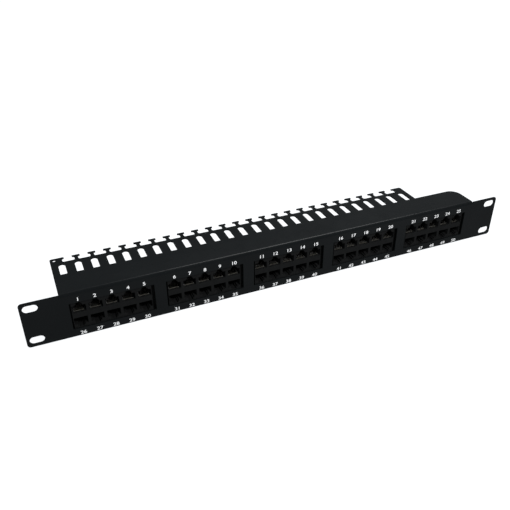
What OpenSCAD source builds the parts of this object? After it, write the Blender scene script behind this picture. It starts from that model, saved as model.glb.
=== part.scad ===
// Fifty-port patch panel for a 19-inch rack, one rack unit high.
// The origin is the centre of the rack slot pattern, on the rear face of the ears.
// +X runs along the panel, +Y runs to the rear and +Z is up. Depths are taken from the front face.

/* [Panel] */
// Width across the ears
panel_w = 482.6; // [482:0.1:483.4]
// Height of the front face
panel_h = 44.4; // [43.6:0.1:44.4]
// Thickness of the sheet
sheet_t = 1.2; // [1:0.1:1.5]
// Corner radius of the ears
ear_r = 3; // [1:0.5:5]
// Distance between the left and right rack slots
rack_span_x = 465.1; // [464.5:0.1:466]
// Distance between the upper and lower rack slots
rack_span_z = 31.75; // [31.7:0.05:31.8]
// End-to-end length of a rack slot
rack_slot_len = 12.3; // [10:0.1:13]
// Width of a rack slot
rack_slot_w = 7; // [6.5:0.1:7.2]

/* [Top plate] */
// Reach of the folded body to the left of the centre
body_left = 209.1; // [208:0.1:210]
// Reach of the folded body to the right of the centre
body_right = 211; // [209:0.1:212]
// Outer radius of the bend
bend_r = 3.2; // [2.5:0.1:4]
// Depth of the plate where it carries the tie tabs
plate_depth = 59.6; // [58:0.1:64]
// Depth of the plate to the right of the tie tabs
short_depth = 31.3; // [28:0.1:32]
// Corner radius at the rear right of the short part
short_corner_r = 10.5; // [4:0.5:12]
// Right edge of the part with tie tabs
tie_edge_x = 160.5; // [159:0.1:162]
// Radius of the two rear corners of the part with tie tabs
tie_corner_r = 2; // [0.5:0.5:3]
// Diameter of the hanging hole in the rear left corner
hang_hole_d = 3.2; // [2:0.1:4]

/* [Cable ties] */
// Number of tie slots
tie_count = 26; // [2:1:26]
// Distance between tie slots
tie_pitch = 14.05; // [14:0.01:14.1]
// Centre of the first tie slot
first_tie_x = -200.1; // [-200.5:0.1:-199.5]
// Extra distance before the last tie slot
last_tie_gap = 1.1; // [0:0.1:1.5]
// Width of a tie slot
tie_slot_w = 5.8; // [4:0.1:6.5]
// Length of a tie slot
tie_slot_len = 16.8; // [12:0.1:18]
// Depth at which the tie slots begin
tie_slot_depth = 31.4; // [31:0.1:32]
// Width of a tab's head
tab_head_w = 7; // [5:0.1:8]
// Width of a tab's neck
tab_neck_w = 3.3; // [2.5:0.1:4.5]
// Thickness of a tab's head
tab_head_t = 1.8; // [1.5:0.1:2.5]
// Depth of the notches between tabs
notch_depth = 8; // [6:0.1:9]

/* [Socket banks] */
// Distance between banks
bank_pitch = 83.1; // [82.8:0.1:84]
// Sideways shift of the windows
window_shift = -0.2; // [-1:0.1:0]
// Width of a window
window_w = 72.6; // [72:0.1:73]
// Upper edge of a window
window_top = 11.9; // [11.5:0.1:12.2]
// Lower edge of a window
window_bottom = -14.75; // [-15.2:0.05:-14.5]
// Sideways shift of the jack blocks
jack_shift = -0.8; // [-1.1:0.1:-0.5]
// Width of a jack block at its face
block_w = 68.6; // [68.4:0.1:69]
// Height of a jack block
block_h = 28.4; // [28:0.1:29]
// Depth of a jack block
block_d = 16.1; // [15:0.1:18]
// Depth at which a jack block's flange begins, behind the front face
flange_depth = 4.8; // [4.6:0.1:8]
// Width of the flange
flange_w = 82.8; // [80:0.1:82.9]
// Thickness of the flange
flange_t = 2.2; // [1.6:0.1:3]
// Height of the middle of a jack block
mid_z = -1.75; // [-1.9:0.05:-1.6]

/* [Sockets] */
// Distance between sockets
port_pitch = 14.03; // [14:0.01:14.05]
// Width of a socket
port_w = 11.5; // [11.3:0.1:11.7]
// Height of a socket without its latch notch
port_h = 6.8; // [6.6:0.1:7]
// Depth of a socket
port_d = 12.6; // [12:0.1:13]
// Half of the solid web between the two rows
half_web = 2.7; // [2.5:0.1:2.8]
// Width of the latch step
step_w = 6.2; // [6:0.1:6.4]
// Height of the latch step
step_h = 1.55; // [1.4:0.05:1.7]
// Width of the latch notch above the step
latch_w = 4; // [3.6:0.1:4.4]
// Height of the latch notch above the step
latch_h = 1.65; // [1.5:0.05:1.8]

/* [Contacts] */
// Contacts in a socket
contact_count = 8; // [4:1:8]
// Distance between contacts
contact_pitch = 1.02; // [1:0.01:1.04]
// Width of a contact
contact_w = 0.42; // [0.3:0.01:0.5]
// Thickness of a contact
contact_t = 0.32; // [0.25:0.01:0.35]
// Length of the sprung run
contact_len = 6.2; // [5:0.1:6.5]
// Rise of the sprung run in degrees
contact_rise = 18; // [12:1:20]

/* [Boards and terminal blocks] */
// Width of a circuit board
board_w = 82.4; // [80:0.1:82.6]
// Height of a circuit board
board_h = 37.6; // [36:0.1:38]
// Thickness of a circuit board
board_t = 1.6; // [1.2:0.1:2]
// Length of a terminal block, which stands upright
idc_len = 30.4; // [30:0.1:31]
// Width of a terminal block at the board
idc_w = 9; // [8:0.1:10]
// Width of a terminal block at the tips of its teeth
idc_tip_w = 6.6; // [6:0.1:7]
// Height of a terminal block above the board
idc_h = 19.5; // [18:0.1:21]
// Distance between wire slots
wire_pitch = 3.6; // [3.5:0.01:3.65]
// Width of a wire slot
wire_slot_w = 1.1; // [0.9:0.05:1.2]
// Sideways place of a board screw from the middle of its board
screw_x = 38.9; // [38.7:0.1:39]
// Height of the upper board screw above the middle of the block
screw_up = 15.9; // [15.4:0.1:16.2]

/* [Hidden] */
$fn = 48;
cut = 1;                                     // how far a cut runs past the surface it opens
fit_gap = 0.05;                              // clearance between pieces that lie against each other
face_y = -sheet_t;
top_z = panel_h / 2;
rear_y = face_y + plate_depth;
notch_r = 1.4;
slot_front_r = 0.8;
hang_from_left = 3.7;
hang_from_rear = 3.3;

bank_cols = 5;
block_y = fit_gap;
board_y = block_y + block_d + fit_gap;
board_rear = board_y + board_t;
board_r = 1;
peg_d = 2.4;
peg_x = 1.5 * port_pitch;
hole_gap = 0.2;                              // how much wider a board hole is than what it takes

sill_d = 2;                                  // plain floor in front of the insert's pocket
pocket_w = 9.6;
pocket_h = 1.95;
insert_d = 3.4;                              // depth at which the insert begins
insert_top = -0.15;
insert_gap = 0.1;
groove_w = 0.62;
groove_h = 0.45;
turn_d = 3;                                  // centre of the contact's front turn
turn_w = 0.1;
turn_ri = 0.3;
turn_ro = turn_ri + contact_t;

idc_base_h = 3;
idc_shoulder_h = 3.6;
idc_shoulder_w = 8;
wire_slots = 8;
wire_slot_root = 8.5;
lead_in_h = 2.7;
lead_in_w = 2.8;
short_tooth_h = 17.9;
channel_w = 1;
channel_root = 2.2;
channel_len = 28.4;
clip_t = 0.45;
clip_w = 2.8;
clip_top = 16.6;
clip_tail_w = 1.2;
clip_tail_h = 2.3;
clip_slit_w = 0.34;
clip_slit_root = 7.5;
clip_mouth_w = 1;
clip_mouth_h = 0.8;

standoff_af = 4.5;
standoff_foot_d = 4.8;
standoff_foot_h = 0.6;
standoff_bore_d = 2.5;
standoff_bore_h = 8;
standoff_room = 2.9;                         // half of the corner a flange leaves free for a standoff
screw_d = 2.4;
screw_len = 6.5;
screw_head_d = 4.6;
screw_head_h = 1.7;
recess_w = 0.7;
recess_len = 2.6;
recess_h = 0.9;
board_hole_d = 2.8;

// Centre of window, jack block and socket column, counted from the left
function window_x(bank) = window_shift + (bank - 3) * bank_pitch;
function block_x(bank) = jack_shift + (bank - 3) * bank_pitch;
function port_x(bank, col) = block_x(bank) + (col - 3) * port_pitch;

// Centre of tie slot i, counted from 0 at the left
function tie_x(i) = first_tie_x + i * tie_pitch + (i == tie_count - 1 ? last_tie_gap : 0);

// A shape drawn in (Y, Z), extruded from x0 to x1
module along_x(x0, x1) {
    translate([x0, 0, 0]) rotate([90, 0, 90]) linear_extrude(x1 - x0) children();
}

// A shape drawn in (X, Z), extruded from y0 to y1
module along_y(y0, y1) {
    translate([0, y1, 0]) rotate([90, 0, 0]) linear_extrude(y1 - y0) children();
}

// Rectangle with four round corners, given by two opposite corners
module rounded_rect(x0, y0, x1, y1, r) {
    translate([x0 + r, y0]) square([x1 - x0 - 2 * r, y1 - y0]);
    translate([x0, y0 + r]) square([x1 - x0, y1 - y0 - 2 * r]);
    for (x = [x0 + r, x1 - r], y = [y0 + r, y1 - r]) translate([x, y]) circle(r);
}

// What a rounded outer corner leaves over, with the round's centre at the origin
module corner_waste(r) {
    difference() {
        square(r + cut);
        circle(r);
    }
}

// ---- Folded sheet -------------------------------------------------------------------------------

// Section through the fold: the flat front, the quarter bend and the flat top
module fold_section() {
    translate([face_y, -top_z]) square([sheet_t, panel_h - bend_r]);
    translate([face_y + bend_r, top_z - bend_r]) intersection() {
        difference() {
            circle(bend_r);
            circle(bend_r - sheet_t);
        }
        translate([-bend_r, 0]) square(bend_r);
    }
    translate([face_y + bend_r, top_z - sheet_t]) square([plate_depth - bend_r, sheet_t]);
}

module ears_outline() {
    difference() {
        rounded_rect(-panel_w / 2, -top_z, panel_w / 2, top_z, ear_r);
        translate([-body_left, -panel_h]) square([body_left + body_right, 2 * panel_h]);
    }
}

module rack_slot() {
    straight = rack_slot_len - rack_slot_w;
    square([straight, rack_slot_w], center = true);
    for (side = [-1, 1]) translate([side * straight / 2, 0]) circle(d = rack_slot_w);
}

// A tie slot is nearly square in front and fully round at the rear
module tie_slot(x) {
    y0 = face_y + tie_slot_depth;
    y1 = y0 + tie_slot_len - tie_slot_w / 2;
    rounded_rect(x - tie_slot_w / 2, y0, x + tie_slot_w / 2, y1, slot_front_r);
    translate([x - tie_slot_w / 2, (y0 + y1) / 2]) square([tie_slot_w, (y1 - y0) / 2]);
    translate([x, y1]) circle(d = tie_slot_w);
}

// The gap between two tabs: wide between the necks, narrow between the heads
module tab_notch(x0, x1) {
    neck = tab_neck_w / 2;
    head = tab_head_w / 2;
    rounded_rect(x0 + neck, rear_y - notch_depth, x1 - neck, rear_y - tab_head_t, notch_r);
    translate([x0 + head, rear_y - notch_depth / 2]) square([x1 - x0 - 2 * head, notch_depth]);
}

// Everything cut out of the flat top, in (X, Y)
module plate_cuts() {
    short_y = face_y + short_depth;
    translate([tie_edge_x, short_y]) square([body_right, plate_depth]);
    translate([body_right - short_corner_r, short_y - short_corner_r]) corner_waste(short_corner_r);
    translate([tie_edge_x - tie_corner_r, rear_y - tie_corner_r]) corner_waste(tie_corner_r);
    translate([tie_corner_r - body_left, rear_y - tie_corner_r]) mirror([1, 0]) corner_waste(tie_corner_r);
    translate([hang_from_left - body_left, rear_y - hang_from_rear]) circle(d = hang_hole_d);
    for (i = [0:tie_count - 1]) tie_slot(tie_x(i));
    for (i = [0:tie_count - 2]) tab_notch(tie_x(i), tie_x(i + 1));
}

module chassis_panel() {
    color("#232325") difference() {
        union() {
            along_x(-body_left, body_right) fold_section();
            along_y(face_y, 0) ears_outline();
        }
        for (side = [-1, 1], level = [-1, 1])
            translate([side * rack_span_x / 2, 0, level * rack_span_z / 2])
                along_y(face_y - cut, cut) rack_slot();
        for (bank = [1:bank_cols])
            translate([window_x(bank) - window_w / 2, face_y - cut, window_bottom])
                cube([window_w, sheet_t + 2 * cut, window_top - window_bottom]);
        translate([0, 0, top_z - sheet_t - cut]) linear_extrude(sheet_t + 2 * cut) plate_cuts();
    }
}

// ---- Jack blocks --------------------------------------------------------------------------------

// Puts a child in each of a bank's ten sockets: origin at the middle of the socket's floor on the
// block's face, +Y into the socket and +Z from the floor towards the latch
module in_each_port(bank) {
    for (col = [1:bank_cols], row = [0, 1])
        translate([port_x(bank, col), block_y, mid_z])
            mirror([0, 0, row]) translate([0, 0, half_web]) children();
}

// A cut of width w from depth d0 to d1 and height z0 to z1
module port_cut(w, d0, d1, z0, z1) {
    translate([-w / 2, d0, z0]) cube([w, d1 - d0, z1 - z0]);
}

// The hollow of one socket, with the pocket for its contact insert, open to the rear
module socket_space() {
    step_top = port_h + step_h;
    port_cut(port_w, -cut, port_d, 0, port_h);
    port_cut(step_w, -cut, port_d, 0, step_top);
    port_cut(latch_w, -cut, port_d, 0, step_top + latch_h);
    port_cut(pocket_w, sill_d, block_d + cut, -pocket_h, turn_w);
}

// The flange round a jack block, cut away at the two corners where the standoffs pass
module flange_outline(bank) {
    x = block_x(bank);
    difference() {
        translate([x - flange_w / 2, mid_z - board_h / 2]) square([flange_w, board_h]);
        at_screws(bank) square(2 * standoff_room, center = true);
    }
}

module jack_block(bank) {
    flange_y = face_y + flange_depth;
    color("#1b1b1d") {
        difference() {
            union() {
                translate([block_x(bank) - block_w / 2, block_y, mid_z - block_h / 2])
                    cube([block_w, block_d, block_h]);
                along_y(flange_y, flange_y + flange_t) flange_outline(bank);
            }
            in_each_port(bank) socket_space();
        }
        for (side = [-1, 1]) translate([block_x(bank) + side * peg_x, 0, mid_z])
            along_y(block_y + block_d, board_rear) circle(d = peg_d);
    }
}

module contact_inserts(bank) {
    insert_w = pocket_w - 2 * insert_gap;
    color("#2a2a2c") in_each_port(bank) difference() {
        port_cut(insert_w, insert_d, block_d, insert_gap - pocket_h, insert_top);
        for (i = [1:contact_count]) translate([contact_x(i), 0, 0])
            port_cut(groove_w, 0, block_d + cut, insert_top - groove_h, 0);
    }
}

function contact_x(i) = (i - (contact_count + 1) / 2) * contact_pitch;

// A contact seen from the side: the run in the insert's groove, the turn at the front, and the
// sprung run that rises back into the socket
module contact_section() {
    far = 3 * turn_ro;
    translate([turn_d, turn_w]) {
        translate([0, -turn_ro]) square([block_d - turn_d, contact_t]);
        rotate(contact_rise) translate([0, turn_ri]) square([contact_len, contact_t]);
        difference() {
            circle(turn_ro);
            circle(turn_ri);
            polygon([[0, 0], [0, -far], [far, -far], [far, far],
                     [-far * sin(contact_rise), far * cos(contact_rise)]]);
        }
    }
}

module contacts(bank) {
    color("#c9a24a") in_each_port(bank)
        for (i = [1:contact_count])
            along_x(contact_x(i) - contact_w / 2, contact_x(i) + contact_w / 2) contact_section();
}

// ---- Boards and terminal blocks -----------------------------------------------------------------

// Puts a child at both screws of a board, which are diagonal, in (X, Z) of the panel
module at_screws(bank) {
    for (side = [-1, 1]) translate([block_x(bank) + side * screw_x, mid_z + side * screw_up]) children();
}

module circuit_board(bank) {
    x = block_x(bank);
    color("#1f6b3a") along_y(board_y, board_rear) difference() {
        rounded_rect(x - board_w / 2, mid_z - board_h / 2, x + board_w / 2, mid_z + board_h / 2, board_r);
        at_screws(bank) circle(d = board_hole_d);
        for (side = [-1, 1]) translate([x + side * peg_x, mid_z]) circle(d = peg_d + hole_gap);
    }
}

// Height of wire slot i above the middle of its block, i from 1 at the bottom
function wire_z(i) = (i - (wire_slots + 1) / 2) * wire_pitch;

// Origin of a column's terminal block: the middle of its foot on the board
module on_board(bank, col) {
    translate([port_x(bank, col), board_rear + fit_gap, mid_z]) children();
}

// A wire slot in (Y, Z), with a lead-in that leaves the teeth pointed
module wire_slot_outline() {
    narrow = wire_slot_w / 2;
    wide = lead_in_w / 2;
    polygon([[wire_slot_root, -narrow], [idc_h - lead_in_h, -narrow], [idc_h, -wide], [idc_h + cut, -wide],
             [idc_h + cut, wide], [idc_h, wide], [idc_h - lead_in_h, narrow], [wire_slot_root, narrow]]);
}

module idc_body() {
    foot = idc_w / 2;
    shoulder = idc_shoulder_w / 2;
    tip = idc_tip_w / 2;
    linear_extrude(idc_len, center = true)
        polygon([[-foot, 0], [foot, 0], [foot, idc_base_h], [shoulder, idc_shoulder_h], [tip, idc_h],
                 [-tip, idc_h], [-shoulder, idc_shoulder_h], [-foot, idc_base_h]]);
}

// One upright terminal block: eight wire slots between teeth, with a channel for the clips
module idc_block(n) {
    bank = ceil(n / bank_cols);
    col = n - (bank - 1) * bank_cols;
    color("#e4e1d6") on_board(bank, col) difference() {
        idc_body();
        for (i = [1:wire_slots]) {
            translate([0, 0, wire_z(i)]) along_x(-idc_w, idc_w) wire_slot_outline();
            translate([-channel_w / 2, -cut, wire_z(i) - clip_tail_w])
                cube([channel_w, channel_root + 2 * cut, 2 * clip_tail_w]);
        }
        // every second tooth stands between the two wires of one pair and is shorter
        for (i = [1:2:wire_slots - 1])
            translate([-idc_w, short_tooth_h, wire_z(i)]) cube([2 * idc_w, idc_h, wire_pitch]);
        translate([-channel_w / 2, channel_root, -channel_len / 2]) cube([channel_w, idc_h, channel_len]);
    }
}

// A clip in (Y, Z): the tail that is soldered to the board, and the fork that takes the wire
module clip_outline() {
    tail = clip_tail_w / 2;
    body = clip_w / 2;
    slit = clip_slit_w / 2;
    mouth = clip_mouth_w / 2;
    difference() {
        union() {
            translate([0, -tail]) square([clip_tail_h + cut, clip_tail_w]);
            translate([clip_tail_h, -body]) square([clip_top - clip_tail_h, clip_w]);
        }
        polygon([[clip_slit_root, -slit], [clip_top - clip_mouth_h, -slit], [clip_top, -mouth],
                 [clip_top + cut, -mouth], [clip_top + cut, mouth], [clip_top, mouth],
                 [clip_top - clip_mouth_h, slit], [clip_slit_root, slit]]);
    }
}

module idc_clips(bank) {
    color("#c8c8c4") for (col = [1:bank_cols], i = [1:wire_slots])
        on_board(bank, col) translate([0, 0, wire_z(i)]) along_x(-clip_t / 2, clip_t / 2) clip_outline();
}

// ---- Fasteners ----------------------------------------------------------------------------------

// Hexagonal standoffs, two to a board, welded to the rear of the front face and coated with the sheet
module weld_standoffs() {
    across_corners = standoff_af / cos(30);
    color("#1b1c1e") for (bank = [1:bank_cols]) difference() {
        union() {
            along_y(0, board_y) at_screws(bank) circle(d = across_corners, $fn = 6);
            along_y(0, standoff_foot_h) at_screws(bank) circle(d = standoff_foot_d);
        }
        along_y(board_y - standoff_bore_h, board_y + cut) at_screws(bank) circle(d = standoff_bore_d);
    }
}

module board_screws() {
    head_y = board_rear + screw_head_h;
    color("#b9bbbd") for (bank = [1:bank_cols]) difference() {
        union() {
            along_y(board_rear, head_y) at_screws(bank) circle(d = screw_head_d);
            along_y(board_rear - screw_len, board_rear + cut) at_screws(bank) circle(d = screw_d);
        }
        along_y(head_y - recess_h, head_y + cut) at_screws(bank) {
            square([recess_w, recess_len], center = true);
            square([recess_len, recess_w], center = true);
        }
    }
}

chassis_panel();
jack_block(1);  // jack_block_1
jack_block(2);  // jack_block_2
jack_block(3);  // jack_block_3
jack_block(4);  // jack_block_4
jack_block(5);  // jack_block_5
contact_inserts(1);  // contact_inserts_1
contact_inserts(2);  // contact_inserts_2
contact_inserts(3);  // contact_inserts_3
contact_inserts(4);  // contact_inserts_4
contact_inserts(5);  // contact_inserts_5
contacts(1);  // contacts_1
contacts(2);  // contacts_2
contacts(3);  // contacts_3
contacts(4);  // contacts_4
contacts(5);  // contacts_5
circuit_board(1);  // circuit_board_1
circuit_board(2);  // circuit_board_2
circuit_board(3);  // circuit_board_3
circuit_board(4);  // circuit_board_4
circuit_board(5);  // circuit_board_5
idc_block(1);  // idc_block_01
idc_block(2);  // idc_block_02
idc_block(3);  // idc_block_03
idc_block(4);  // idc_block_04
idc_block(5);  // idc_block_05
idc_block(6);  // idc_block_06
idc_block(7);  // idc_block_07
idc_block(8);  // idc_block_08
idc_block(9);  // idc_block_09
idc_block(10);  // idc_block_10
idc_block(11);  // idc_block_11
idc_block(12);  // idc_block_12
idc_block(13);  // idc_block_13
idc_block(14);  // idc_block_14
idc_block(15);  // idc_block_15
idc_block(16);  // idc_block_16
idc_block(17);  // idc_block_17
idc_block(18);  // idc_block_18
idc_block(19);  // idc_block_19
idc_block(20);  // idc_block_20
idc_block(21);  // idc_block_21
idc_block(22);  // idc_block_22
idc_block(23);  // idc_block_23
idc_block(24);  // idc_block_24
idc_block(25);  // idc_block_25
idc_clips(1);  // idc_clips_1
idc_clips(2);  // idc_clips_2
idc_clips(3);  // idc_clips_3
idc_clips(4);  // idc_clips_4
idc_clips(5);  // idc_clips_5
weld_standoffs();
board_screws();
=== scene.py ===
import math
import random

import bmesh
import bpy
from mathutils import Matrix, Vector


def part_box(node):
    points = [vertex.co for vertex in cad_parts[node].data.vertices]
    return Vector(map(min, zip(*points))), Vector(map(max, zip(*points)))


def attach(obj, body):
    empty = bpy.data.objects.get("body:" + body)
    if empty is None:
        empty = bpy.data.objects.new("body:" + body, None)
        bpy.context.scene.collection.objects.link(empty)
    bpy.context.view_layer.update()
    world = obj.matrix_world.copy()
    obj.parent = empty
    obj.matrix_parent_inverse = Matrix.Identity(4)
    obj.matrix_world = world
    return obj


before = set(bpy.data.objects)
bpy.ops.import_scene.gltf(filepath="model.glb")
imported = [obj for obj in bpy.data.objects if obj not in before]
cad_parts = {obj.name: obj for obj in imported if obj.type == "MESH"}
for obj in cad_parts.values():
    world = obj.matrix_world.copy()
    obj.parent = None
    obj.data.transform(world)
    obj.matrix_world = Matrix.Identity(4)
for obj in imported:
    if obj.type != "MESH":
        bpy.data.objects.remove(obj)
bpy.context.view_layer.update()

MM = 0.001
BANKS = range(1, 6)
COLS = range(1, 6)
rng = random.Random(19)


# ---- Where things are, from the CAD -------------------------------------------------------------

PORT_PITCH = 14.03 * MM
WIRE_PITCH = 3.6 * MM
WIRE_SLOTS = 8

panel_lo, panel_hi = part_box("chassis_panel")
board_lo, board_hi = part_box("circuit_board_1")
idc_lo, idc_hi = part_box("idc_block_01")
FACE_Y = panel_lo.y
BOARD_Y = board_hi.y
MID_Z = (idc_lo.z + idc_hi.z) / 2


def bank_x(bank):
    lo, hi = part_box(f"jack_block_{bank}")
    return (lo.x + hi.x) / 2


def column_x(bank, col):
    return bank_x(bank) + (col - 3) * PORT_PITCH


def columns():
    """Bank, column and upper port number of every column of two sockets."""
    for bank in BANKS:
        for col in COLS:
            yield bank, col, (bank - 1) * 5 + col


# ---- Materials ----------------------------------------------------------------------------------

class Finish:
    """A procedural material, with texture sizes in millimetres of the object."""

    def __init__(self, name, roughness, specular=0.5, metallic=0.0):
        self.material = bpy.data.materials.new(name)
        self.material.use_nodes = True
        self.nodes = self.material.node_tree.nodes
        self.links = self.material.node_tree.links
        self.shader = self.nodes["Principled BSDF"]
        self.shader.inputs["Roughness"].default_value = roughness
        self.shader.inputs["Specular IOR Level"].default_value = specular
        self.shader.inputs["Metallic"].default_value = metallic
        self.where = self.nodes.new("ShaderNodeTexCoord").outputs["Object"]
        self.height = None

    def noise(self, size_mm, detail=2.0, stretch=(1, 1, 1)):
        """Noise whose grains are size_mm wide, drawn out along an axis by stretch."""
        mapping = self.nodes.new("ShaderNodeMapping")
        mapping.inputs["Scale"].default_value = [1 / s for s in stretch]
        self.links.new(self.where, mapping.inputs["Vector"])
        texture = self.nodes.new("ShaderNodeTexNoise")
        texture.inputs["Scale"].default_value = 1 / (size_mm * MM)
        texture.inputs["Detail"].default_value = detail
        self.links.new(mapping.outputs["Vector"], texture.inputs["Vector"])
        return texture.outputs["Fac"]

    def spread(self, value, low, high, start=0.3, end=0.7):
        """The value between start and end, stretched to run from low to high."""
        node = self.nodes.new("ShaderNodeMapRange")
        for name, number in (("From Min", start), ("From Max", end), ("To Min", low), ("To Max", high)):
            node.inputs[name].default_value = number
        self.links.new(value, node.inputs["Value"])
        return node.outputs["Result"]

    def colour(self, first, second, value):
        """Base colour that runs from first to second with the value."""
        node = self.nodes.new("ShaderNodeMix")
        node.data_type = "RGBA"
        node.inputs["A"].default_value = (*first, 1)
        node.inputs["B"].default_value = (*second, 1)
        self.links.new(value, node.inputs["Factor"])
        self.links.new(node.outputs["Result"], self.shader.inputs["Base Color"])
        return self

    def roughness(self, value):
        self.links.new(value, self.shader.inputs["Roughness"])
        return self

    def dull_when_grazed(self, straight, grazed):
        """Specular level that falls from straight to grazed as the surface turns edge on."""
        facing = self.nodes.new("ShaderNodeLayerWeight").outputs["Facing"]
        self.links.new(self.spread(facing, straight, grazed, start=0.30, end=0.50),
                       self.shader.inputs["Specular IOR Level"])
        return self

    def bump(self, value, depth_mm):
        """Relief of that depth. A second call adds a finer one."""
        node = self.nodes.new("ShaderNodeBump")
        node.inputs["Strength"].default_value = 1
        node.inputs["Distance"].default_value = depth_mm * MM
        self.links.new(value, node.inputs["Height"])
        if self.height:
            self.links.new(self.height, node.inputs["Normal"])
        self.height = node.outputs["Normal"]
        self.links.new(self.height, self.shader.inputs["Normal"])
        return self


def powder_coat():
    """Near-black paint with a fine orange peel."""
    f = Finish("powder_coat", 0.34, specular=0.03)
    cloud = f.noise(38, detail=3)
    f.colour((0.0026, 0.0031, 0.0034), (0.0033, 0.0039, 0.0042), f.spread(cloud, 0, 1))
    f.dull_when_grazed(0.040, 0.012)
    f.roughness(f.spread(f.noise(9, detail=3), 0.26, 0.31))
    f.bump(f.noise(1.6), 0.012).bump(f.noise(0.35), 0.004)
    return f.material


def moulded(name, dark, light, roughness, specular):
    """Moulded plastic: a fine spark-eroded grain under faint flow marks."""
    f = Finish(name, roughness, specular=specular)
    flow = f.noise(6, detail=3, stretch=(1, 1, 3))
    f.colour(dark, light, f.spread(flow, 0, 1))
    f.roughness(f.spread(f.noise(2.5), roughness - 0.06, roughness + 0.06))
    f.bump(f.noise(0.3), 0.006)
    return f.material


def plated(name, dark, light, roughness, streak=(1, 1, 1)):
    """Bare or plated metal, with its colour and polish drawn out along streak."""
    f = Finish(name, roughness, metallic=1.0)
    f.colour(dark, light, f.spread(f.noise(1.5, detail=4, stretch=streak), 0, 1))
    f.roughness(f.spread(f.noise(0.8, detail=4, stretch=streak), roughness - 0.08, roughness + 0.1))
    f.bump(f.noise(0.25), 0.003)
    return f.material


def laminate():
    """Solder mask over glass weave."""
    f = Finish("board_laminate", 0.28)
    f.colour((0.006, 0.060, 0.022), (0.010, 0.085, 0.032), f.spread(f.noise(7, detail=3), 0, 1))
    f.bump(f.noise(0.5, stretch=(4, 1, 1)), 0.006).bump(f.noise(0.5, stretch=(1, 1, 4)), 0.006)
    return f.material


def printed(name, colour, roughness=0.5):
    """Ink or solder mask of nearly even colour."""
    f = Finish(name, roughness)
    f.colour([0.9 * c for c in colour], colour, f.spread(f.noise(1.2, detail=3), 0, 1))
    f.bump(f.noise(0.2), 0.004)
    return f.material


# ---- Mesh building ------------------------------------------------------------------------------

def piece(name, mesh, material):
    """Puts a finished mesh into the scene as a piece of the object."""
    mesh.materials.clear()
    mesh.materials.append(material)
    obj = bpy.data.objects.new(name, mesh)
    bpy.context.scene.collection.objects.link(obj)
    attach(obj, "root")


def mesh_from(name, build):
    """A mesh made by a function that fills a bmesh."""
    bm = bmesh.new()
    build(bm)
    bmesh.ops.recalc_face_normals(bm, faces=bm.faces)
    mesh = bpy.data.meshes.new(name)
    bm.to_mesh(mesh)
    bm.free()
    return mesh


def add_prism(bm, outline, y0, y1):
    """A closed prism with its outline in (X, Z), from y0 to y1."""
    near = [bm.verts.new((x, y0, z)) for x, z in outline]
    far = [bm.verts.new((x, y1, z)) for x, z in outline]
    bm.faces.new(near)
    bm.faces.new(reversed(far))
    for i in range(len(outline)):
        j = (i + 1) % len(outline)
        bm.faces.new((near[i], far[i], far[j], near[j]))


def add_block(bm, x0, x1, y0, y1, z0, z1):
    add_prism(bm, ((x0, z0), (x1, z0), (x1, z1), (x0, z1)), y0, y1)


def add_track(bm, points, width, y0, y1):
    """A flat strip of that width along points in (X, Z), mitred at its bends."""
    left, right = [], []
    for i, (x, z) in enumerate(points):
        before = Vector(points[i]) - Vector(points[max(i - 1, 0)])
        after = Vector(points[min(i + 1, len(points) - 1)]) - Vector(points[i])
        along = (before.normalized() + after.normalized()).normalized()
        side = Vector((-along.y, along.x))
        straight = (after if after.length else before).normalized()
        side *= width / 2 / max(abs(side.dot(Vector((-straight.y, straight.x)))), 0.3)
        left.append((x + side.x, z + side.y))
        right.append((x - side.x, z - side.y))
    add_prism(bm, left + right[::-1], y0, y1)


def add_dome(bm, x, z, y, radius, height, sides=12, rings=3):
    """A closed solder dome that stands on the plane y."""
    rows = []
    for k in range(rings):
        a = math.radians(90 * k / rings)
        r = radius * math.cos(a)
        rows.append([bm.verts.new((x + r * math.cos(t), y + height * math.sin(a), z + r * math.sin(t)))
                     for t in (math.tau * i / sides for i in range(sides))])
    top = bm.verts.new((x, y + height, z))
    bm.faces.new(reversed(rows[0]))
    for low, high in zip(rows, rows[1:]):
        for i in range(sides):
            j = (i + 1) % sides
            bm.faces.new((low[i], low[j], high[j], high[i]))
    for i in range(sides):
        bm.faces.new((rows[-1][i], rows[-1][(i + 1) % sides], top))


def digits_mesh(text, height, bold):
    """A number as a flat solid in (X, Y), centred on the origin and that high."""
    curve = bpy.data.curves.new("digits", "FONT")
    curve.body = text
    curve.size = 1
    curve.offset = bold
    curve.extrude = 0.5
    curve.resolution_u = 6
    holder = bpy.data.objects.new("digits", curve)
    mesh = bpy.data.meshes.new_from_object(holder)
    bpy.data.objects.remove(holder)
    bpy.data.curves.remove(curve)
    xs = [v.co.x for v in mesh.vertices]
    ys = [v.co.y for v in mesh.vertices]
    middle = Vector(((min(xs) + max(xs)) / 2, (min(ys) + max(ys)) / 2, 0))
    scale = height / (max(ys) - min(ys))
    mesh.transform(Matrix.Diagonal((scale, scale, 1, 1)) @ Matrix.Translation(-middle))
    return mesh


def add_label(bm, text, x, z, y0, y1, height, bold=0.02, stretch=1.0, rear=False):
    """A printed number between y0 and y1, stretched sideways, read from the front or from the rear."""
    mesh = digits_mesh(text, height, bold)
    across = -stretch if rear else stretch
    place = Matrix(((across, 0, 0, x), (0, 0, y1 - y0, (y0 + y1) / 2), (0, 1, 0, z), (0, 0, 0, 1)))
    mesh.transform(place)
    bm.from_mesh(mesh)
    bpy.data.meshes.remove(mesh)


# ---- CAD nodes ----------------------------------------------------------------------------------

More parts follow.
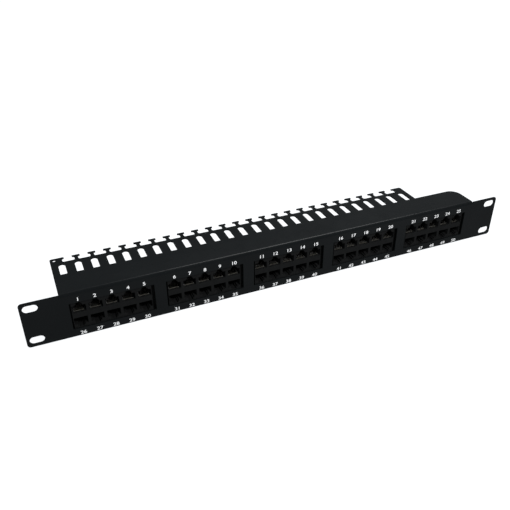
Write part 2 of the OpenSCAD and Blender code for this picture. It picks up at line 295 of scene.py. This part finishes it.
def finish_node(name, material, edge=0.0, segments=2):
    """Gives a CAD node its material, and a bevel of that many millimetres on its edges, if any."""
    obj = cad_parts[name]
    obj.data.materials.clear()
    obj.data.materials.append(material)
    if not edge:
        return
    if "custom_normal" in obj.data.attributes:
        obj.data.attributes.remove(obj.data.attributes["custom_normal"])
    obj.data.polygons.foreach_set("use_smooth", [True] * len(obj.data.polygons))
    weld = obj.modifiers.new("weld", "WELD")
    weld.merge_threshold = 0.002 * MM
    flat = obj.modifiers.new("flat faces", "DECIMATE")
    flat.decimate_type = "DISSOLVE"
    flat.angle_limit = math.radians(0.5)
    bevel = obj.modifiers.new("soft edges", "BEVEL")
    bevel.width = edge * MM
    bevel.segments = segments
    bevel.limit_method = "ANGLE"
    bevel.angle_limit = math.radians(30)
    bevel.use_clamp_overlap = False         # otherwise the shortest edge of an arc thins every bevel
    normals = obj.modifiers.new("normals", "WEIGHTED_NORMAL")
    normals.keep_sharp = True


def dress_cad():
    """Gives every CAD node its material and its edges."""
    coat = powder_coat()
    socket = moulded("socket_plastic", (0.0045, 0.0046, 0.0047), (0.0057, 0.0058, 0.0059),
                     roughness=0.5, specular=0.008)
    insert = moulded("insert_plastic", (0.050, 0.050, 0.049), (0.060, 0.060, 0.058),
                     roughness=0.5, specular=0.2)
    gold = plated("contact_gold", (0.16, 0.145, 0.12), (0.23, 0.21, 0.175), 0.4, streak=(1, 6, 1))
    board = laminate()
    terminal = moulded("terminal_plastic", (0.60, 0.57, 0.49), (0.68, 0.65, 0.57),
                       roughness=0.42, specular=0.5)
    tin = plated("clip_tin", (0.58, 0.57, 0.55), (0.74, 0.73, 0.71), 0.3, streak=(1, 5, 1))
    zinc = plated("zinc_steel", (0.50, 0.52, 0.54), (0.66, 0.68, 0.70), 0.3)
    finish_node("chassis_panel", coat, edge=0.1)
    for bank in BANKS:
        finish_node(f"jack_block_{bank}", socket, edge=0.15)
        finish_node(f"contact_inserts_{bank}", insert, edge=0.05, segments=1)
        finish_node(f"contacts_{bank}", gold)
        finish_node(f"circuit_board_{bank}", board, edge=0.1)
        finish_node(f"idc_clips_{bank}", tin)
    for _, _, n in columns():
        finish_node(f"idc_block_{n:02d}", terminal)
    finish_node("weld_standoffs", coat, edge=0.1)
    finish_node("board_screws", zinc, edge=0.1)


# ---- Printed and soldered detail ----------------------------------------------------------------

NUMBER_HEIGHT = 3.35 * MM
NUMBER_STRETCH = 1.17
NUMBER_SHIFT = 0.25 * MM
UPPER_NUMBER_Z = 15.17 * MM
LOWER_NUMBER_Z = -19.45 * MM
LOWER_NUMBERS_FROM = 25
INK = 0.04 * MM


def port_numbers():
    """The numbers printed above and below the windows."""
    def build(bm):
        for bank, col, n in columns():
            x = column_x(bank, col) + NUMBER_SHIFT
            for number, z in ((n, UPPER_NUMBER_Z), (n + LOWER_NUMBERS_FROM, LOWER_NUMBER_Z)):
                add_label(bm, str(number), x, z, FACE_Y - INK, FACE_Y, NUMBER_HEIGHT,
                          bold=0.01, stretch=NUMBER_STRETCH)
    ink = printed("number_ink", (0.58, 0.58, 0.58))
    piece("port_numbers", mesh_from("port_numbers", build), ink)


PAIR_COLOURS = {"blue": (0.02, 0.10, 0.42), "orange": (0.75, 0.18, 0.02),
                "green": (0.02, 0.24, 0.06), "brown": (0.16, 0.06, 0.025)}
SHORT_TOOTH = 17.95 * MM
MARK_FROM, MARK_TO = 0.8 * MM, 3.1 * MM
MARK_HALF = 0.75 * MM


def pair_marks():
    """Two stamped marks on every short tooth, in the colour of the pair it parts."""
    y = BOARD_Y + SHORT_TOOTH
    for k, (colour_name, colour) in enumerate(PAIR_COLOURS.items()):
        z = MID_Z + (2 * k - 3) * WIRE_PITCH

        def build(bm):
            for bank, col, _ in columns():
                for side in (-1, 1):
                    x0, x1 = sorted((side * MARK_FROM, side * MARK_TO))
                    x = column_x(bank, col)
                    add_block(bm, x + x0, x + x1, y, y + INK, z - MARK_HALF, z + MARK_HALF)
        ink = printed(f"pair_{colour_name}", colour)
        piece(f"pair_marks_{colour_name}", mesh_from(colour_name, build), ink)


FOIL = 0.05 * MM
TRACK_WIDTH = 0.32 * MM
TRACK_BEND = 5 * MM                 # a track's bend lies at most this far from the board's middle
TRACKS = ({"out": 5.1, "up": 11.0, "down": 13.0, "jog": 0.36},      # millimetres, for each of the
          {"out": 5.85, "up": 8.8, "down": 11.5, "jog": 0.6})       # two tracks beside a terminal block
JOINT_PITCH = 1.27 * MM
JOINT_FROM = 3.2 * MM               # from the middle of the board to the first joint, up or down
JOINT_STAGGER = 0.55 * MM
JOINT_RADIUS = 0.48 * MM
JOINT_HEIGHT = 0.5 * MM
FRAME_HALF_WIDTH = 4.75 * MM        # silkscreen frame round the foot of a terminal block
FRAME_HALF_HEIGHT = 15.45 * MM
FRAME_LINE = 0.18 * MM
SCREEN_NUMBER_Z = 17.2 * MM
SCREEN_NUMBER_HEIGHT = 1.7 * MM


def add_tracks(bm, bank):
    """Two tracks beside each side of every terminal block, each with one jog."""
    for col in COLS:
        for side in (-1, 1):
            for track in TRACKS:
                x = column_x(bank, col) + side * track["out"] * MM
                turned_x = x - side * track["jog"] * MM
                top = MID_Z + track["up"] * MM
                low = MID_Z - track["down"] * MM
                bend = MID_Z + rng.uniform(-TRACK_BEND, TRACK_BEND)
                route = ((x, top), (x, bend), (turned_x, bend - track["jog"] * MM), (turned_x, low))
                add_track(bm, route, TRACK_WIDTH, BOARD_Y, BOARD_Y + FOIL)


def add_joints(bm, bank):
    """Staggered solder joints between the terminal blocks."""
    for col in COLS[:-1]:
        x = column_x(bank, col) + PORT_PITCH / 2
        for i in range(WIRE_SLOTS):
            stagger = JOINT_STAGGER if i % 2 else -JOINT_STAGGER
            for row in (-1, 1):
                z = MID_Z + row * (JOINT_FROM + JOINT_PITCH * i)
                add_dome(bm, x + stagger, z, BOARD_Y, JOINT_RADIUS, JOINT_HEIGHT)


def add_silkscreen(bm, bank):
    """A frame and two port numbers round every terminal block."""
    wide, tall, line = FRAME_HALF_WIDTH, FRAME_HALF_HEIGHT, FRAME_LINE
    for col in COLS:
        x = column_x(bank, col)
        for side in (-1, 1):
            edge = sorted((x + side * wide, x + side * (wide + line)))
            add_block(bm, *edge, BOARD_Y, BOARD_Y + INK, MID_Z - tall, MID_Z + tall)
            edge = sorted((MID_Z + side * tall, MID_Z + side * (tall + line)))
            add_block(bm, x - wide, x + wide, BOARD_Y, BOARD_Y + INK, *edge)
        upper = (bank - 1) * len(COLS) + col
        for number, row in ((upper, 1), (upper + LOWER_NUMBERS_FROM, -1)):
            add_label(bm, str(number), x, MID_Z + row * SCREEN_NUMBER_Z, BOARD_Y, BOARD_Y + INK,
                      SCREEN_NUMBER_HEIGHT, rear=True)


def board_detail():
    """Tracks, solder joints and silkscreen on the rear of each board."""
    mask = printed("track_mask", (0.022, 0.15, 0.06), roughness=0.3)
    screen = printed("board_silkscreen", (0.80, 0.80, 0.76))
    solder = plated("solder", (0.52, 0.52, 0.53), (0.68, 0.68, 0.69), 0.28)
    kinds = (("tracks", add_tracks, mask, "board_laminate"), ("joints", add_joints, solder, "clip_tin"),
             ("silkscreen", add_silkscreen, screen, "board_laminate"))
    for bank in BANKS:
        for kind, add, material, slot in kinds:
            mesh = mesh_from(kind, lambda bm: add(bm, bank))
            piece(f"board_{kind}_{bank}", mesh, material)


# ---- Stage --------------------------------------------------------------------------------------

FLOOR_HALF = 12.0
FLOOR_Z = panel_lo.z - 0.2 * MM


def floor():
    """A pale floor just below the panel, white mostly by light of its own, on which shadows stay faint."""
    corners = ((-1, -1), (1, -1), (1, 1), (-1, 1))

    def build(bm):
        bm.faces.new([bm.verts.new((x * FLOOR_HALF, y * FLOOR_HALF, FLOOR_Z)) for x, y in corners])
    mesh = mesh_from("floor", build)
    f = Finish("floor", 0.9, specular=0.0)
    f.colour((0.115, 0.115, 0.115), (0.125, 0.125, 0.125), f.spread(f.noise(400), 0, 1))
    f.shader.inputs["Emission Color"].default_value = (0.98, 1, 1.02, 1)
    f.shader.inputs["Emission Strength"].default_value = 0.88
    mesh.materials.append(f.material)
    obj = bpy.data.objects.new("floor", mesh)
    bpy.context.scene.collection.objects.link(obj)


def sun(name, towards, irradiance, width_deg):
    """A soft, distant light that shines from the direction given."""
    lamp = bpy.data.lights.new(name, "SUN")
    lamp.energy = irradiance
    lamp.angle = math.radians(width_deg)
    obj = bpy.data.objects.new(name, lamp)
    obj.rotation_euler = Vector(towards).to_track_quat("Z", "Y").to_euler()
    bpy.context.scene.collection.objects.link(obj)


def softbox(name, place, size, power):
    """A square light that faces the middle of the panel and leaves no glint of its own."""
    lamp = bpy.data.lights.new(name, "AREA")
    lamp.energy = power
    lamp.size = size
    obj = bpy.data.objects.new(name, lamp)
    obj.location = place
    obj.rotation_euler = Vector(place).to_track_quat("Z", "Y").to_euler()
    obj.visible_glossy = False
    bpy.context.scene.collection.objects.link(obj)


def studio():
    """A dim grey surround, in front of a white backdrop that gives no light, with two softboxes."""
    world = bpy.data.worlds.new("studio")
    world.use_nodes = True
    bpy.context.scene.world = world
    nodes, links = world.node_tree.nodes, world.node_tree.links
    surround = nodes["Background"]
    surround.inputs["Color"].default_value = (0.70, 0.74, 0.76, 1)
    backdrop = nodes.new("ShaderNodeBackground")
    backdrop.inputs["Color"].default_value = (1, 1, 1, 1)
    seen = nodes.new("ShaderNodeMixShader")
    links.new(nodes.new("ShaderNodeLightPath").outputs["Is Camera Ray"], seen.inputs["Fac"])
    links.new(surround.outputs["Background"], seen.inputs[1])
    links.new(backdrop.outputs["Background"], seen.inputs[2])
    links.new(seen.outputs["Shader"], nodes["World Output"].inputs["Surface"])
    sun("rear_softbox", (0.38, 0.49, 0.78), 3.2, 24)
    softbox("front_softbox", (0.06, -0.42, 0.52), 0.12, 6.2)
    bpy.context.scene.view_settings.view_transform = "Standard"


def camera():
    """The photograph's viewpoint, solved from the rack slots and the panel's edges."""
    yaw, pitch, roll = (math.radians(a) for a in (22.809, 32.184, -0.27))
    data = bpy.data.cameras.new("photo_view")
    data.sensor_width = 36
    data.lens = 43.16
    obj = bpy.data.objects.new("photo_view", data)
    swing = Matrix.Rotation(-yaw, 4, "Z")
    tilt = Matrix.Rotation(math.pi / 2 - pitch, 4, "X")
    lean = Matrix.Rotation(roll, 4, "Z")
    place = Matrix.Translation(Vector((-217.891, -435.035, 314.765)) * MM)
    obj.matrix_world = place @ swing @ tilt @ lean
    bpy.context.scene.collection.objects.link(obj)
    bpy.context.scene.camera = obj


dress_cad()
port_numbers()
pair_marks()
board_detail()
floor()
studio()
camera()
